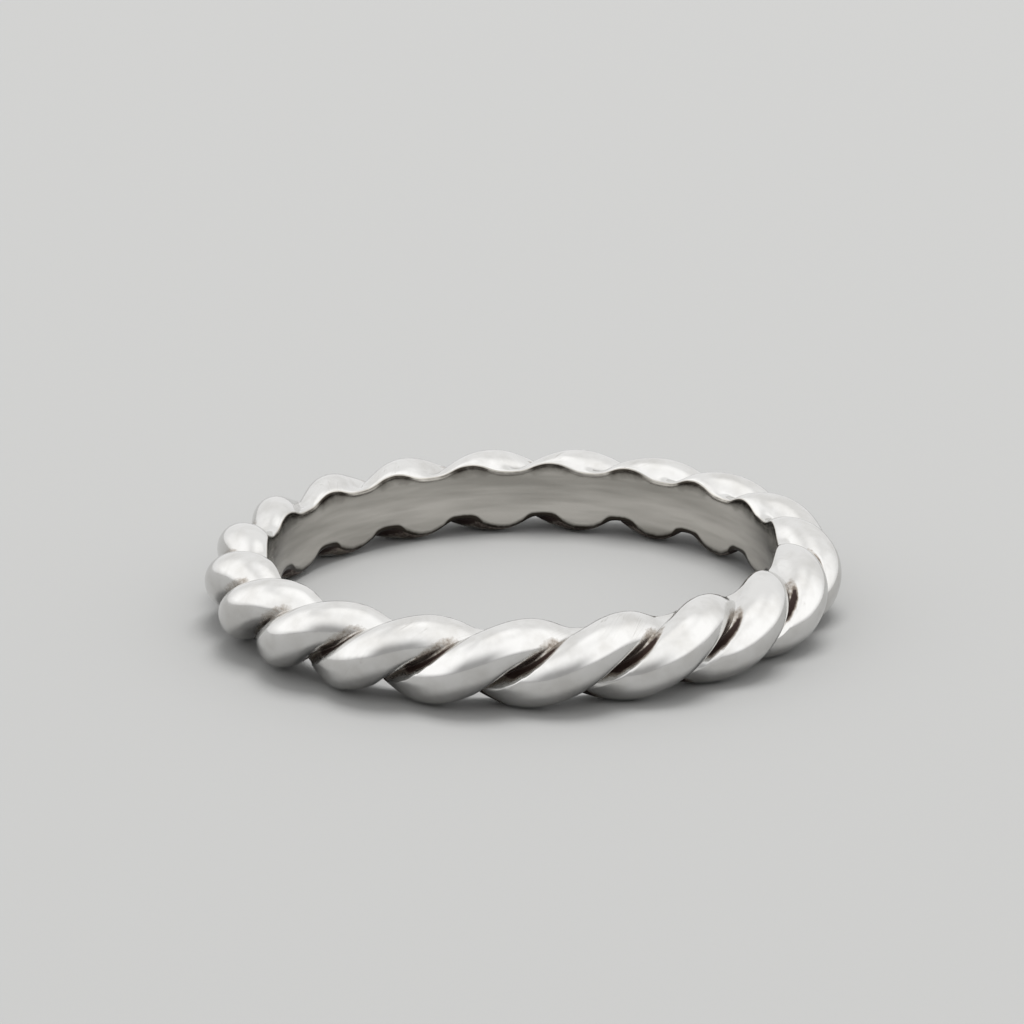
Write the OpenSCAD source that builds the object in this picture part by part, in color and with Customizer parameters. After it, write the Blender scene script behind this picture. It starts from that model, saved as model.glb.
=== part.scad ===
// Rope twist ring: two strands laid round each other, closed into a ring and bored smooth inside.
// The ring lies flat. Its origin is the middle of the finger bore, and +Z is the bore's axis.

/* [Finger bore] */
// Diameter of the finger bore
bore_d = 17.3; // [15:0.1:20]

/* [Rope] */
// Number of lobes seen round the outside, one for each half turn of the rope
lobes = 19; // [17:1:23]
// Height of the rope, measured across both strands
rope_h = 2.88; // [2.7:0.02:3.1]
// Thickness of one strand where the rope's section cuts it, measured across the line of both strands
strand_w = 1.96; // [1.8:0.02:2.2]
// Distance of each strand's centre from the rope's own axis
strand_offset = 0.51; // [0.41:0.02:0.61]
// Depth that the bore cuts into the rope, measured inwards from the rope's own axis
bore_cut = 0.75; // [0.65:0.01:0.85]

/* [Lay of the strands] */
// Turn of the strands at the ring's +X side, in degrees of the rope's own turn
lay_start = 51; // [0:1:179]
// Most that hand work shifts the lobes once round the ring, in degrees round the ring
drift_once = 0.9; // [0:0.1:1.5]
// Most that hand work shifts the lobes twice round the ring, in degrees round the ring
drift_twice = 0.6; // [0:0.1:1]

/* [Web behind the strands] */
// Height of the web that fills the lay at the bore wall
web_h = 1.8; // [1.2:0.05:1.95]
// Reach of the web outwards from the bore wall, past the rope's own axis
web_reach = 0.95; // [0.9:0.05:1.1]
// Softness of the join between the web and the strands
web_join = 0.16; // [0:0.02:0.24]

/* [Hidden] */

drift_once_from = 94; // ring angle that the once-round shift is counted from, in degrees
drift_twice_from = 150;
steps_per_lobe = 12; // sections in a lobe, and points in half an outline
sections = lobes * steps_per_lobe;
outline_points = 2 * steps_per_lobe;
rope_r = bore_d / 2 + bore_cut;
strand_rise = rope_h / 2 - strand_offset; // half size of the strand's oval, outwards
blank_depth = 0.3; // metal left inside the bore line, for the bore to remove
bore_tool_h = rope_h + 2;
bore_facets = 180;

// Distance from the rope's axis, at angle a, to the far side of an oval whose centre lies
// at distance c along angle 0, with half sizes p along that line and q across it. 0 is a miss.
function oval_reach(a, c, p, q) =
  let (
    k = (cos(a) / p) ^ 2 + (sin(a) / q) ^ 2,
    m = cos(a) * c / p ^ 2,
    left = m ^ 2 - k * ((c / p) ^ 2 - 1)
  )
  left < 0 ? 0 : max(0, (m + sqrt(left)) / k);

// A round strand that runs aslant is cut as an oval. The two stand half a turn apart, so the
// one that reaches further gives the outline.
function strand_reach(a) =
  max(
    oval_reach(a, strand_offset, strand_rise, strand_w / 2),
    oval_reach(a + 180, strand_offset, strand_rise, strand_w / 2)
  );

// The web is an oval bead on the bore wall. Angle 180 points to the ring's middle.
function web(a) = oval_reach(a - 180, bore_cut, web_reach, web_h / 2);

// The larger of two reaches, with the corner between them filled
function joined(p, q) = (p + q + sqrt((p - q) ^ 2 + web_join ^ 2)) / 2;

// A point of the outline at angle a, where the rope has turned by t
function outline_point(a, t) =
  let (reach = joined(strand_reach(a - t), web(a)))
  [max(rope_r + reach * cos(a), bore_d / 2 - blank_depth), reach * sin(a)];

// Place of section i round the ring. Even steps of the rope's turn lie a little unevenly round it.
function ring_angle(i) =
  let (even = 360 * i / sections)
  even + drift_once * sin(even + drift_once_from) + drift_twice * sin(2 * even + drift_twice_from);

// The first point of each half outline lies in the groove between the strands, and turns with it.
function section_points(i) =
  let (turn = lay_start + 180 * i / steps_per_lobe, round = ring_angle(i))
  [
    for (j = [0 : outline_points - 1])
      let (p = outline_point(turn - 90 + 180 * j / steps_per_lobe, turn))
      [p.x * cos(round), p.x * sin(round), p.y]
  ];

// An odd number of half turns closes the ring with the two strands changed over.
function point_index(i, j) =
  i < sections
  ? i * outline_points + j % outline_points
  : (j + lobes * steps_per_lobe) % outline_points;

module rope_blank() {
  polyhedron(
    points = [for (i = [0 : sections - 1]) each section_points(i)],
    faces = [
      for (i = [0 : sections - 1], j = [0 : outline_points - 1])
        let (
          a = point_index(i, j),
          b = point_index(i + 1, j),
          c = point_index(i + 1, j + 1),
          d = point_index(i, j + 1)
        )
        each [[a, b, d], [b, c, d]]
    ]
  );
}

module rope_band() {
  color("silver")
    difference() {
      rope_blank();
      cylinder(d = bore_d, h = bore_tool_h, center = true, $fn = bore_facets);
    }
}

rope_band();
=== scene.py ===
import math

import bmesh
import bpy
from mathutils import Matrix, Vector, noise


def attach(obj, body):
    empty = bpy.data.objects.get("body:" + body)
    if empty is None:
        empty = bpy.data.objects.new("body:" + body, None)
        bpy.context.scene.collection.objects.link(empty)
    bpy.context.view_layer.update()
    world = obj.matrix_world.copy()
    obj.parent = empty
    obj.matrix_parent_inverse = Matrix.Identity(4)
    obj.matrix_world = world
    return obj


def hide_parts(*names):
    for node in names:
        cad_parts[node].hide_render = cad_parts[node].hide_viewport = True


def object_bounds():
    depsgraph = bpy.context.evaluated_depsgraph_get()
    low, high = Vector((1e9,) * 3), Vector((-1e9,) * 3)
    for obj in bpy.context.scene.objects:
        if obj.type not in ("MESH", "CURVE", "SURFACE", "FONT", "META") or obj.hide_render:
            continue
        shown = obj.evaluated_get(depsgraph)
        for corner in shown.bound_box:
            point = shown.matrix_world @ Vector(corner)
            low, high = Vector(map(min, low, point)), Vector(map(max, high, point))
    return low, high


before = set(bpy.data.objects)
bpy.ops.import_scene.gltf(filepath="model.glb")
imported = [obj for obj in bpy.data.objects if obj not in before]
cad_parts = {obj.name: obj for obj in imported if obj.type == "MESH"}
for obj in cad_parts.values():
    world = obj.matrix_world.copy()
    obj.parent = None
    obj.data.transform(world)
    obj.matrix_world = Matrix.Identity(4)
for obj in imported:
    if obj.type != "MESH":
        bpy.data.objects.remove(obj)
cadLow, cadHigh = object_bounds()
print("frame loaded, CAD box", [round(v, 5) for v in cadLow], [round(v, 5) for v in cadHigh])

mm = 0.001

# Rope band: two strands laid round each other, closed into a ring and bored smooth
ropeBand = {
    "boreRadius": 8.65 * mm,
    "boreCut": 0.75 * mm,          # how far the bore wall lies inside the rope's own axis
    "strandOffset": 0.51 * mm,     # strand centre to rope axis
    "strandRise": 0.93 * mm,       # half size of a strand's oval, outwards
    "strandHalfWidth": 0.98 * mm,
    "halfTurns": 19,
    "layStart": math.radians(51),
    "driftOnce": math.radians(0.9),
    "driftOnceFrom": math.radians(94),
    "driftTwice": math.radians(0.6),
    "driftTwiceFrom": math.radians(150),
    "webHalfHeights": (0.9 * mm, 0.97 * mm),               # below and above the ring's middle plane
    "webReach": 0.95 * mm,
    "webJoin": 0.1 * mm,
    "sections": 950,
    "sectionPoints": 100,
    "rimPoint": 35,                # points from the outermost one to the rim, either way
    "startAngle": math.radians(-0.6 / 9.5),                # sets a line of points where strands meet
    "grooveDepth": 0.34 * mm,      # cut below the meeting of the two ovals
    "grooveShoulder": math.radians(42),                    # its width towards the strand above
    "shoulderShares": (0.6, 1.0),  # of that width, where the cut is shallow and where it is deep
    "edgeWidths": (math.radians(10.5), math.radians(21.5)),  # to the crisp edge, low and high
    "edgeRise": (math.radians(-45), math.radians(40)),     # where that width goes from low to high
    "edgeSharpness": 6,            # of the stain along the crisp edge
    "grooveLean": 0.4,             # how far the groove's bottom lies towards its crisp edge
    "grooveFadeAbove": (math.radians(-10), math.radians(62)),
    "grooveFadeBelow": (math.radians(30), math.radians(90)),
    "stainRise": (math.radians(-20), math.radians(60)),    # where the stains go from low to high
    "coreTops": (math.radians(2), math.radians(-5)),       # upper edge of the thick patina
    "coreSoftness": math.radians(8),
    "coreEndAbove": (math.radians(22), math.radians(90)),
    "coreEndBelow": (math.radians(-46), math.radians(-18)),
    "filmTops": (math.radians(18), math.radians(23)),      # upper edge of the thin brown film
    "filmSoftness": math.radians(12),
    "filmFade": (math.radians(62), math.radians(96)),
    "filmShares": (0.5, 0.43),                             # low and high
    "notchWidths": (math.radians(82), math.radians(74)),   # painted shade in the gaps low beside the bore
    "notchShade": (math.radians(64), math.radians(86)),
    "lowRimShade": (math.radians(98), math.radians(114)),  # painted shade along the lower rim
    "lowRimShare": 0.6,
    "gapDepths": (0.9 * mm, 1.05 * mm),                    # rim depths between which a gap ends
    "gapClimb": (0.02 * mm, 0.34 * mm),                    # how far the painted shade climbs the bore wall
    "rimReaches": (0.3 * mm, 0.35 * mm, 0.35 * mm),        # painted shade all round, more at crests, and painted dark reflection at the sides
    "rimShares": (0.6, 0.1, 0.06),                         # its strength in the same three places
    "rimCrests": (1.0 * mm, 1.15 * mm),                    # rim heights between which a crest starts
    "sideTightness": 6,            # how closely a side's painted dark reflection keeps to the side
    "dentSize": 0.016 * mm,
    "dentScale": 900,
    "dentFade": 6,                 # points over which the dents fade towards the rims
    "rimSoftening": ((1.5, 6), (4.5, 14)),                 # points either side and rounds, below, above
    "unlaidRing": 3.0,             # radii of the pattern space in which the strands run straight
    "unlaidRope": 1.5,
}


def smoothStep(value, low, high):
    t = min(1.0, max(0.0, (value - low) / (high - low)))
    return t * t * (3 - 2 * t)


def between(pair, share):
    return pair[0] + (pair[1] - pair[0]) * share


def ovalReach(angle, centre, halfAlong, halfAcross):
    # distance from the rope's axis to the far side of an oval that stands off the axis, or 0
    c = math.cos(angle)
    k = (c / halfAlong) ** 2 + (math.sin(angle) / halfAcross) ** 2
    m = c * centre / halfAlong ** 2
    left = m * m - k * ((centre / halfAlong) ** 2 - 1)
    if left < 0:
        return 0.0
    return max(0.0, (m + math.sqrt(left)) / k)


def joinedReach(p, q, softness):
    # the larger of two reaches, with the corner between them filled
    return (p + q + math.sqrt((p - q) ** 2 + softness ** 2)) / 2


def grooveAngle(across, lay):
    # 0 where the strands meet, and up to a quarter turn on the crests either side
    return (across - lay) % math.pi - math.pi / 2


def grooveShare(fromBottom, widths):
    # 1 along the groove's bottom, 0 where the strands are whole, with a crisp edge on one side
    if fromBottom > 0:
        x = min(1.0, fromBottom / widths[0])
        return 0.5 + 0.5 * math.cos(math.pi * x)
    x = min(1.0, -fromBottom / widths[1])
    return 1 - x * x


def edgeWidth(s, across):
    return between(s["edgeWidths"], smoothStep(across, *s["edgeRise"]))


def outlineReach(s, across, lay):
    # the rope's reach from its axis, at an angle across it, where the strands have turned by the lay
    turn = across - lay
    a = ovalReach(turn, s["strandOffset"], s["strandRise"], s["strandHalfWidth"])
    b = ovalReach(turn + math.pi, s["strandOffset"], s["strandRise"], s["strandHalfWidth"])
    fade = 1 - smoothStep(across, *s["grooveFadeAbove"])
    fade *= 1 - smoothStep(-across, *s["grooveFadeBelow"])
    edge = edgeWidth(s, across)
    bottom = -edge * s["grooveLean"]
    widths = (s["grooveShoulder"] * between(s["shoulderShares"], fade), edge + bottom)
    cut = s["grooveDepth"] * fade * grooveShare(grooveAngle(across, lay) - bottom, widths)
    web = ovalReach(across - math.pi, s["boreCut"], s["webReach"], s["webHalfHeights"][across > 0])
    return joinedReach(max(a, b) - cut, web, s["webJoin"])


def stainBelow(s, across, lay, top, softness):
    # 1 between the groove's crisp edge and a soft upper edge
    fromGroove = grooveAngle(across, lay)
    crisp = 1 - min(1.0, max(0.0, -fromGroove) / edgeWidth(s, across)) ** s["edgeSharpness"]
    return crisp * (1 - smoothStep(fromGroove, top - softness, top + softness))


def outsidePatinaAndShade(s, across, lay):
    # thick patina and a thin film in the groove, painted shade in the lower gaps beside the bore and
    # along that rim
    rise = smoothStep(across, *s["stainRise"])
    core = stainBelow(s, across, lay, between(s["coreTops"], rise), s["coreSoftness"])
    core *= (1 - smoothStep(across, *s["coreEndAbove"])) * smoothStep(across, *s["coreEndBelow"])
    film = stainBelow(s, across, lay, between(s["filmTops"], rise), s["filmSoftness"])
    film *= between(s["filmShares"], rise) * (1 - smoothStep(abs(across), *s["filmFade"]))
    # painted shade in the gaps low beside the bore
    notch = grooveShare(grooveAngle(across, lay), s["notchWidths"])
    notch *= smoothStep(-across, *s["notchShade"])
    # painted shade along the lower rim
    lowRim = s["lowRimShare"] * smoothStep(-across, *s["lowRimShade"])
    return max(core, film, notch, lowRim)


def paintedWallShade(s, around, top, bottom, up):
    # painted shade along the upper rim and more under crests, painted dark reflection at the ring's two
    # sides, and painted shade above the lower gaps
    atPlace = (1, smoothStep(top, *s["rimCrests"]), math.cos(around) ** s["sideTightness"])
    reach = sum(part * share for part, share in zip(s["rimReaches"], atPlace))
    above = sum(part * share for part, share in zip(s["rimShares"], atPlace))
    above *= max(0.0, 1 - (top - up) / reach)
    below = 1 - smoothStep(up - bottom, *s["gapClimb"])
    below *= between((s["lowRimShare"], 1), 1 - smoothStep(-bottom, *s["gapDepths"]))
    return max(above, below)


def unlaidPoint(s, across, lay, around):
    turn = 2 * (across - lay)
    radius = s["unlaidRing"] + s["unlaidRope"] * math.cos(turn)
    height = s["unlaidRope"] * math.sin(turn)
    return Vector((radius * math.cos(around), radius * math.sin(around), height))


def driftedAngle(s, around):
    once = s["driftOnce"] * math.sin(around + s["driftOnceFrom"])
    twice = s["driftTwice"] * math.sin(2 * around + s["driftTwiceFrom"])
    return around + once + twice


def dentedPoint(s, point, middle, fade):
    dent = noise.noise(point * s["dentScale"]) * s["dentSize"] * fade
    return point + (point - middle).normalized() * dent


def splitAlongStrands(bm, turns, tolerance):
    # each face is split along the strands, which keeps the grooves' edges straight
    ways = {"FIXED": [], "ALTERNATE": []}
    for f in bm.faces:
        along = abs(math.sin(turns[f.verts[0]] - turns[f.verts[2]])) < tolerance
        ways["FIXED" if along else "ALTERNATE"].append(f)
    print("faces split one way and the other:", [len(faces) for faces in ways.values()])
    for way, faces in ways.items():
        bmesh.ops.triangulate(bm, faces=faces, quad_method=way, ngon_method="BEAUTY")


def makeRopeBand(s):
    ropeRadius = s["boreRadius"] + s["boreCut"]
    pointStep = 2 * math.pi / s["sectionPoints"]
    sectionStep = 2 * math.pi / s["sections"]
    rimAngle = s["rimPoint"] * pointStep
    quarter = math.pi / 2
    bm = bmesh.new()
    # a plain round hoop first, then each of its points is moved to the rope's own form
    start = (
        Matrix.Rotation(s["startAngle"], 4, "Z")
        @ Matrix.Translation((ropeRadius, 0, 0))
        @ Matrix.Rotation(quarter, 4, "X")
    )
    bmesh.ops.create_circle(bm, cap_ends=False, radius=mm, segments=s["sectionPoints"], matrix=start)
    bmesh.ops.spin(
        bm, geom=bm.verts[:] + bm.edges[:], cent=(0, 0, 0), axis=(0, 0, 1), dvec=(0, 0, 0),
        angle=2 * math.pi, steps=s["sections"], use_merge=True, use_duplicate=False,
    )
    patinaAndShade = bm.verts.layers.float.new("patinaAndShade")
    unlaid = bm.verts.layers.float_vector.new("unlaid")
    rims = {}
    rimVerts = ([], [])
    wallVerts = set()
    turns = {}
    for v in bm.verts:
        section = round((math.atan2(v.co.y, v.co.x) - s["startAngle"]) / sectionStep)
        around = s["startAngle"] + section * sectionStep
        across = math.atan2(v.co.z, math.hypot(v.co.x, v.co.y) - ropeRadius)
        lay = s["layStart"] + s["halfTurns"] / 2 * around
        if section not in rims:
            rims[section] = (outlineReach(s, rimAngle, lay), outlineReach(s, -rimAngle, lay))
        aside = abs(across)
        side = 1 if across > 0 else -1
        if aside < rimAngle + pointStep / 2:
            # the outside, with its last points spread so that the rim meets the bore
            reach = outlineReach(s, across, lay)
            turned = aside
            if aside > quarter:
                rimReach = rims[section][0 if across > 0 else 1]
                rimTurn = math.acos(-s["boreCut"] / rimReach)
                turned = quarter + (aside - quarter) * (rimTurn - quarter) / (rimAngle - quarter)
            out = reach * math.cos(turned)
            up = reach * math.sin(turned) * side
            # patina in the grooves, with painted shade in the lower gaps and along the lower rim
            v[patinaAndShade] = outsidePatinaAndShade(s, across, lay)
        else:
            # the bore wall, evenly divided between its two rims
            top = math.sqrt(rims[section][0] ** 2 - s["boreCut"] ** 2)
            bottom = -math.sqrt(rims[section][1] ** 2 - s["boreCut"] ** 2)
            share = ((across % (2 * math.pi)) - rimAngle) / (2 * math.pi - 2 * rimAngle)
            out = -s["boreCut"]
            up = top + (bottom - top) * share
            # painted shade on the wall under the upper rim and above the lower gaps, and painted dark
            # reflection at the two sides
            v[patinaAndShade] = paintedWallShade(s, around, top, bottom, up)
        v[unlaid] = unlaidPoint(s, across, lay, around)
        turns[v] = across - lay
        if aside > rimAngle - pointStep / 2:
            wallVerts.add(v)
        if abs(aside - rimAngle) < s["rimSoftening"][side > 0][0] * pointStep:
            rimVerts[side > 0].append(v)
        # hand work sets the lobes a little unevenly round the ring
        drifted = driftedAngle(s, around)
        radius = ropeRadius + out
        v.co = Vector((radius * math.cos(drifted), radius * math.sin(drifted), up))
        if aside < rimAngle - pointStep / 2:
            fade = min(1.0, (rimAngle - aside) / (s["dentFade"] * pointStep))
            middle = Vector((ropeRadius * math.cos(drifted), ropeRadius * math.sin(drifted), 0))
            v.co = dentedPoint(s, v.co, middle, fade)
    allAxes = {"use_axis_x": True, "use_axis_y": True, "use_axis_z": True}
    for verts, (_, rounds) in zip(rimVerts, s["rimSoftening"]):
        for _ in range(rounds):
            bmesh.ops.smooth_vert(bm, verts=verts, factor=0.5, **allAxes)
    bmesh.ops.recalc_face_normals(bm, faces=bm.faces[:])
    splitAlongStrands(bm, turns, pointStep / 4)
    for f in bm.faces:
        f.smooth = True
        f.material_index = 1 if wallVerts.issuperset(f.verts) else 0
    mesh = bpy.data.meshes.new("rope_twist_band")
    bm.to_mesh(mesh)
    bm.free()
    band = bpy.data.objects.new("rope_twist_band", mesh)
    bpy.context.scene.collection.objects.link(band)
    return band


band = makeRopeBand(ropeBand)
print("rope band made:", len(band.data.vertices), "points,", len(band.data.polygons), "faces")

# Finishes. A noise is given as its scale, detail and roughness, and a range as where it starts and ends
def newGroup(name, inputs, outputs):
    group = bpy.data.node_groups.new(name, "ShaderNodeTree")
    for label, kind, value in inputs:
        socket = group.interface.new_socket(name=label, in_out="INPUT", socket_type=kind)
        if value is not None:
            socket.default_value = value
    for label, kind in outputs:
        group.interface.new_socket(name=label, in_out="OUTPUT", socket_type=kind)
    start = group.nodes.new("NodeGroupInput")
    end = group.nodes.new("NodeGroupOutput")
    return group, start, end


def addNode(tree, kind, **settings):
    node = tree.nodes.new(kind)
    for key, value in settings.items():
        setattr(node, key, value)
    return node


def setInput(tree, socket, value):
    if isinstance(value, (int, float, tuple)):
        socket.default_value = value
    else:
        tree.links.new(value, socket)


def mathNode(tree, operation, *values):
    node = addNode(tree, "ShaderNodeMath", operation=operation)
    for index, value in enumerate(values):
        setInput(tree, node.inputs[index], value)
    return node.outputs[0]


def rangeNode(tree, value, span, result=(0.0, 1.0), smooth=False):
    node = addNode(tree, "ShaderNodeMapRange", interpolation_type="SMOOTHSTEP" if smooth else "LINEAR")
    tree.links.new(value, node.inputs["Value"])
    for label, number in zip(("From Min", "From Max", "To Min", "To Max"), (*span, *result)):
        setInput(tree, node.inputs[label], number)
    return node.outputs["Result"]


def noiseNode(tree, vector, settings):
    node = addNode(tree, "ShaderNodeTexNoise", noise_dimensions="3D")
    tree.links.new(vector, node.inputs["Vector"])
    for label, number in zip(("Scale", "Detail", "Roughness"), settings):
        setInput(tree, node.inputs[label], number)
    return node.outputs["Fac"]


def mixColours(tree, share, first, second):
    node = addNode(tree, "ShaderNodeMix", data_type="RGBA")
    for index, value in ((0, share), (6, first), (7, second)):
        setInput(tree, node.inputs[index], value)
    return node.outputs[2]


def mixNumbers(tree, share, first, second):
    node = addNode(tree, "ShaderNodeMix", data_type="FLOAT")
    for index, value in ((0, share), (2, first), (3, second)):
        setInput(tree, node.inputs[index], value)
    return node.outputs[0]


def stretched(tree, vector, scale):
    node = addNode(tree, "ShaderNodeMapping", vector_type="POINT")
    tree.links.new(vector, node.inputs["Vector"])
    node.inputs["Scale"].default_value = scale
    return node.outputs["Vector"]


patinaShadeMask = {
    "grain": (3.0, 0.6),           # detail and roughness, as each silver has its own scale of grain
    "grainShift": 0.34,            # how far the grain breaks up the edge of the patina and the painted shade
    "patches": (700.0, 2.0, 0.5),
    "patchShift": 0.26,
    "softness": 0.4,
}


def makePatinaShadeMask(s):
    group, start, end = newGroup(
        "patinaShadeMask",
        [
            ("Vector", "NodeSocketVector", None), ("PatinaAndShade", "NodeSocketFloat", 0.0),
            ("Grain", "NodeSocketFloat", 4500.0), ("Reach", "NodeSocketFloat", 0.5),
        ],
        [("Mask", "NodeSocketFloat")],
    )
    where = start.outputs["Vector"]
    grain = noiseNode(group, where, (start.outputs["Grain"], *s["grain"]))
    grain = mathNode(group, "MULTIPLY", mathNode(group, "SUBTRACT", grain, 0.5), s["grainShift"])
    patches = noiseNode(group, where, s["patches"])
    patches = mathNode(group, "MULTIPLY", mathNode(group, "SUBTRACT", patches, 0.5), s["patchShift"])
    shift = mathNode(group, "ADD", grain, patches)
    low = mathNode(group, "SUBTRACT", 1.0, start.outputs["Reach"])
    high = mathNode(group, "ADD", low, s["softness"])
    mask = rangeNode(group, mathNode(group, "ADD", start.outputs["PatinaAndShade"], shift), (low, high))
    group.links.new(mask, end.inputs["Mask"])
    return group


def startSilver(name, maskGroup, s):
    # a new material, with the mask of patina and painted shade laid where the band's attribute puts
    # them
    material = bpy.data.materials.new(name)
    material.use_nodes = True
    tree = material.node_tree
    where = addNode(tree, "ShaderNodeTexCoord").outputs["Object"]
    patinaShade = addNode(tree, "ShaderNodeGroup", node_tree=maskGroup)
    tree.links.new(where, patinaShade.inputs["Vector"])
    patinaAndShade = addNode(tree, "ShaderNodeAttribute", attribute_name="patinaAndShade").outputs["Fac"]
    tree.links.new(patinaAndShade, patinaShade.inputs["PatinaAndShade"])
    patinaShade.inputs["Grain"].default_value = s["patinaShadeGrain"]
    patinaShade.inputs["Reach"].default_value = s["patinaShadeReach"]
    return material, where, patinaShade.outputs["Mask"]


def addBump(tree, height, s):
    bump = addNode(tree, "ShaderNodeBump")
    bump.inputs["Strength"].default_value = s["bumpStrength"]
    bump.inputs["Distance"].default_value = s["bumpDepth"]
    tree.links.new(height, bump.inputs["Height"])
    tree.links.new(bump.outputs["Normal"], tree.nodes["Principled BSDF"].inputs["Normal"])


polished = {
    "silver": (0.64, 0.635, 0.623, 1),
    "tarnish": (0.555, 0.546, 0.528, 1),
    "crease": (0.3, 0.28, 0.255, 1),
    # patina colours, which also paint the shade low beside the bore
    "thinPatinaAndShade": (0.31, 0.273, 0.235, 1),
    "thickPatinaAndShade": (0.018, 0.007, 0.004, 1),
    "patinaShadeGrain": 8000.0,
    "patinaShadeReach": 0.7,
    "coverRange": (0.0, 0.5),              # of the mask, from bare silver to patina and painted shade
    "thickRange": (0.4, 0.95),             # from thin to thick, for patina and painted shade alike
    "dullRange": (0.4, 1.0),               # from metal to the dull crust, which also covers the painted shade
    "dullMetallic": 0.35,
    "mottle": (1100.0, 3.0, 0.55),
    "tarnishRange": (0.42, 0.7),
    "creases": (1.6, 1.0, 0.5),
    "creaseWidth": 0.008,
    "creasePlaces": (600.0, 1.0, 0.5),
    "creasePlaceRange": (0.56, 0.68),
    "creaseShare": 0.6,
    "smudges": (420.0, 3.0, 0.55),
    "smudgeRange": (0.3, 0.7),
    "roughness": (0.09, 0.16),             # from clean to smudged
    "patinaShadeRoughness": 0.5,                # added where the patina and painted shade are full
    "bumpStrength": 0.12,
    "bumpDepth": 0.01 * mm,
}


def makePolishedSilver(maskGroup, s):
    material, where, mask = startSilver("polishedSilver", maskGroup, s)
    tree = material.node_tree
    shader = tree.nodes["Principled BSDF"]
    # fine creases run along the strands, here and there
    along = addNode(tree, "ShaderNodeAttribute", attribute_name="unlaid").outputs["Vector"]
    crease = mathNode(tree, "SUBTRACT", noiseNode(tree, along, s["creases"]), 0.5)
    crease = rangeNode(tree, mathNode(tree, "ABSOLUTE", crease), (0.0, s["creaseWidth"]), (1.0, 0.0))
    places = rangeNode(tree, noiseNode(tree, where, s["creasePlaces"]), s["creasePlaceRange"])
    crease = mathNode(tree, "MULTIPLY", crease, places)
    mottle = noiseNode(tree, where, s["mottle"])
    colour = mixColours(tree, rangeNode(tree, mottle, s["tarnishRange"]), s["silver"], s["tarnish"])
    colour = mixColours(tree, mathNode(tree, "MULTIPLY", crease, s["creaseShare"]), colour, s["crease"])
    stainAndShade = mixColours(tree, rangeNode(tree, mask, s["thickRange"]), s["thinPatinaAndShade"], s["thickPatinaAndShade"])
    # patina and painted shade laid over the silver
    colour = mixColours(tree, rangeNode(tree, mask, s["coverRange"]), colour, stainAndShade)
    tree.links.new(colour, shader.inputs["Base Color"])
    metallic = rangeNode(tree, mask, s["dullRange"], (1.0, s["dullMetallic"]))
    tree.links.new(metallic, shader.inputs["Metallic"])
    rough = rangeNode(tree, noiseNode(tree, where, s["smudges"]), s["smudgeRange"], s["roughness"])
    rough = mathNode(tree, "ADD", rough, mathNode(tree, "MULTIPLY", mask, s["patinaShadeRoughness"]))
    tree.links.new(rough, shader.inputs["Roughness"])
    addBump(tree, mathNode(tree, "SUBTRACT", mottle, crease), s)
    return material


brushed = {
    "light": (0.6, 0.578, 0.538, 1),
    "dark": (0.37, 0.355, 0.326, 1),
    # painted shade on the bore wall, light and deep
    "stainAndShade": (0.2, 0.188, 0.168, 1),
    "deepShade": (0.04, 0.034, 0.028, 1),
    "patinaShadeGrain": 2500.0,
    "patinaShadeReach": 0.8,
    "coverRange": (0.0, 0.8),              # of the mask, from bare wall to painted shade
    "deepShadeRange": (0.6, 1.0),               # from light painted shade to deep painted shade
    "bandStretch": (180, 180, 1500),       # low values draw a pattern out round the bore
    "bands": (1.0, 3.0, 0.55),
    "bandRange": (0.36, 0.68),
    "streakStretch": (150, 150, 14000),
    "streaks": (1.0, 2.0, 0.5),
    "streakRange": (0.3, 0.7),
    "roughness": (0.17, 0.27),
    "bumpStrength": 0.06,
    "bumpDepth": 0.005 * mm,
}


def makeBrushedSilver(maskGroup, s):
    material, where, mask = startSilver("brushedSilver", maskGroup, s)
    tree = material.node_tree
    shader = tree.nodes["Principled BSDF"]
    bands = noiseNode(tree, stretched(tree, where, s["bandStretch"]), s["bands"])
    streaks = noiseNode(tree, stretched(tree, where, s["streakStretch"]), s["streaks"])
    colour = mixColours(tree, rangeNode(tree, bands, s["bandRange"]), s["light"], s["dark"])
    stainAndShade = mixColours(tree, rangeNode(tree, mask, s["deepShadeRange"]), s["stainAndShade"], s["deepShade"])
    # painted shade laid over the wall
    colour = mixColours(tree, rangeNode(tree, mask, s["coverRange"]), colour, stainAndShade)
    tree.links.new(colour, shader.inputs["Base Color"])
    shader.inputs["Metallic"].default_value = 1.0
    rough = rangeNode(tree, streaks, s["streakRange"], s["roughness"])
    tree.links.new(rough, shader.inputs["Roughness"])
    addBump(tree, streaks, s)
    return material


patinaShadeGroup = makePatinaShadeMask(patinaShadeMask)
band.data.materials.append(makePolishedSilver(patinaShadeGroup, polished))
band.data.materials.append(makeBrushedSilver(patinaShadeGroup, brushed))
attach(band, "root")
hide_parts("rope_band")
print("finishes set")

# Floor, lights and camera
paleFloor = {
    "halfSize": 1.5,
    "colour": (0.258, 0.258, 0.254, 1),
    "roughness": 0.8,
}


def makeFloor(s):
    bm = bmesh.new()
    bmesh.ops.create_grid(bm, x_segments=4, y_segments=4, size=s["halfSize"])
    bmesh.ops.translate(bm, vec=(0, 0, cadLow.z), verts=bm.verts[:])
    mesh = bpy.data.meshes.new("pale_floor")
    bm.to_mesh(mesh)
    bm.free()
    floor = bpy.data.objects.new("pale_floor", mesh)
    bpy.context.scene.collection.objects.link(floor)
    material = bpy.data.materials.new("paleFloor")
    material.use_nodes = True
    shader = material.node_tree.nodes["Principled BSDF"]
    shader.inputs["Base Color"].default_value = s["colour"]
    shader.inputs["Roughness"].default_value = s["roughness"]
    mesh.materials.append(material)


keyLight = {
    "size": (0.35, 0.35),
    "place": (0.08, 0.14, 0.62),
    "brightness": 12.0,
}


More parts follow.
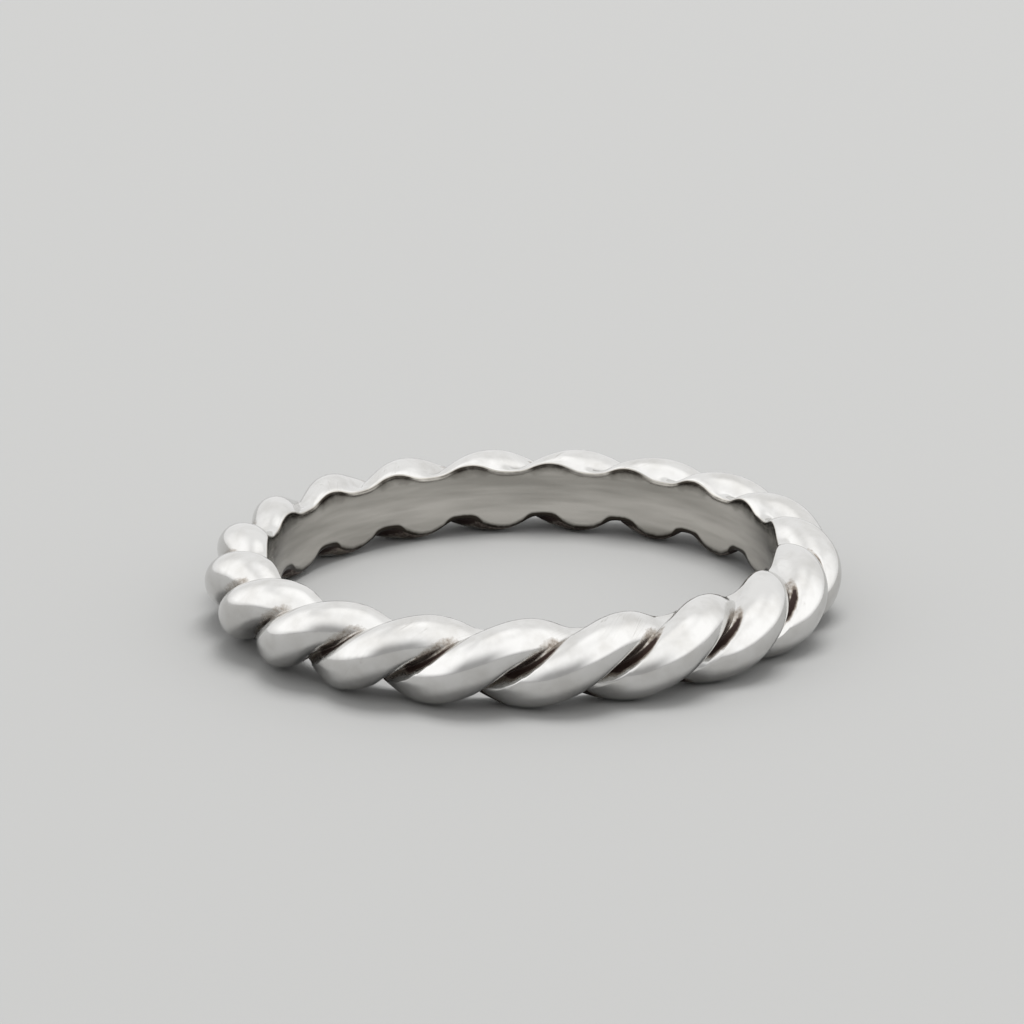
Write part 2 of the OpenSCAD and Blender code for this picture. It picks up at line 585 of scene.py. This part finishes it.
def makeKeyLight(s):
    light = bpy.data.lights.new("keySoftbox", "AREA")
    light.shape = "RECTANGLE"
    light.size, light.size_y = s["size"]
    light.energy = math.pi * s["size"][0] * s["size"][1] * s["brightness"]
    box = bpy.data.objects.new("keySoftbox", light)
    bpy.context.scene.collection.objects.link(box)
    facing = -Vector(s["place"])
    box.rotation_euler = facing.to_track_quat("-Z", "Y").to_euler()
    box.location = s["place"]
    box.visible_glossy = False     # it makes the soft shadow, and the silver mirrors the tent alone


cameraView = {
    "elevation": math.radians(18.4),
    "distance": 165.5 * mm,
    "focal": 4851,                 # pixels
    "imageWidth": 1024,
    "sensor": 36.0,
    "clipStart": 0.01,
    "roll": math.radians(-0.8),
    "centreX": 10.9,               # pixels that the ring's middle lies right of the picture's middle
    "centreY": 59.3,               # and below it
}


def makeCamera(s):
    tilt = s["elevation"]
    back = Vector((0, -math.cos(tilt), math.sin(tilt)))
    flatRight = Vector((1, 0, 0))
    flatUp = Vector((0, math.sin(tilt), math.cos(tilt)))
    right = flatRight * math.cos(s["roll"]) + flatUp * math.sin(s["roll"])
    up = flatUp * math.cos(s["roll"]) - flatRight * math.sin(s["roll"])
    place = back * s["distance"]
    perPixel = s["distance"] / s["focal"]
    target = up * s["centreY"] * perPixel - right * s["centreX"] * perPixel
    zAxis = (place - target).normalized()
    xAxis = up.cross(zAxis).normalized()
    yAxis = zAxis.cross(xAxis)
    data = bpy.data.cameras.new("photoCamera")
    data.sensor_width = s["sensor"]
    data.lens = s["focal"] / s["imageWidth"] * s["sensor"]
    data.clip_start = s["clipStart"]
    camera = bpy.data.objects.new("photoCamera", data)
    bpy.context.scene.collection.objects.link(camera)
    turn = Matrix((xAxis, yAxis, zAxis)).transposed().to_4x4()
    camera.matrix_world = Matrix.Translation(place) @ turn
    bpy.context.scene.camera = camera


# Soft tent of light. A height is a direction's, from 0 level to 1 straight up
studioTent = {
    "frontHeights": (0.17, 0.8),   # towards the camera
    "frontLight": (0.49, 1.42),    # brightness low down and high up
    "backHeights": (0.0, 0.6),     # away from the camera
    "backLight": (1.0, 1.16),
    "topHeights": (0.85, 1.0),
    "topExtra": 0.4,
    "frontToBack": (-0.35, 0.15),
    "sideLight": 1.53,
    "sideFoot": (-0.05, 0.2),      # heights over which the bright sides begin
    "rightTurn": math.radians(20),  # how far the right side lies round towards the camera
    "rightBorder": (0.35, 0.93),   # how far to the side it begins and is full
    "rightTop": (0.8, 1.0),        # heights over which it ends
    "leftBorder": (-0.5, -0.97),
    "leftTop": (0.68, 0.88),
    "poleGuard": 0.001,            # keeps straight up from dividing by zero
}


def makeTent(s):
    world = bpy.data.worlds.new("studioTent")
    world.use_nodes = True
    tree = world.node_tree
    way = addNode(tree, "ShaderNodeSeparateXYZ")
    tree.links.new(addNode(tree, "ShaderNodeTexCoord").outputs["Generated"], way.inputs[0])
    x, y, z = way.outputs
    front = rangeNode(tree, z, s["frontHeights"], s["frontLight"], smooth=True)
    back = rangeNode(tree, z, s["backHeights"], s["backLight"])
    top = rangeNode(tree, z, s["topHeights"], (0.0, s["topExtra"]), smooth=True)
    back = mathNode(tree, "ADD", back, top)
    base = mixNumbers(tree, rangeNode(tree, y, s["frontToBack"], smooth=True), front, back)
    # two bright sides, each with soft borders
    level = mathNode(tree, "SUBTRACT", 1 + s["poleGuard"], mathNode(tree, "MULTIPLY", z, z))
    level = mathNode(tree, "SQRT", level)
    right = mathNode(tree, "MULTIPLY", x, math.cos(s["rightTurn"]))
    right = mathNode(tree, "SUBTRACT", right, mathNode(tree, "MULTIPLY", y, math.sin(s["rightTurn"])))
    sides = []
    for aside, name in ((x, "left"), (right, "right")):
        side = rangeNode(tree, mathNode(tree, "DIVIDE", aside, level), s[name + "Border"], smooth=True)
        below = rangeNode(tree, z, s[name + "Top"], (1.0, 0.0), smooth=True)
        sides.append(mathNode(tree, "MULTIPLY", side, below))
    foot = rangeNode(tree, z, s["sideFoot"], smooth=True)
    share = mathNode(tree, "MULTIPLY", mathNode(tree, "ADD", *sides), foot)
    strength = mixNumbers(tree, share, base, s["sideLight"])
    tree.links.new(strength, tree.nodes["Background"].inputs["Strength"])
    tree.nodes["Background"].inputs["Color"].default_value = (1, 1, 1, 1)
    bpy.context.scene.world = world


makeFloor(paleFloor)
makeTent(studioTent)
makeKeyLight(keyLight)
bpy.context.scene.view_settings.view_transform = "Standard"
makeCamera(cameraView)
print("floor, lights and camera set")
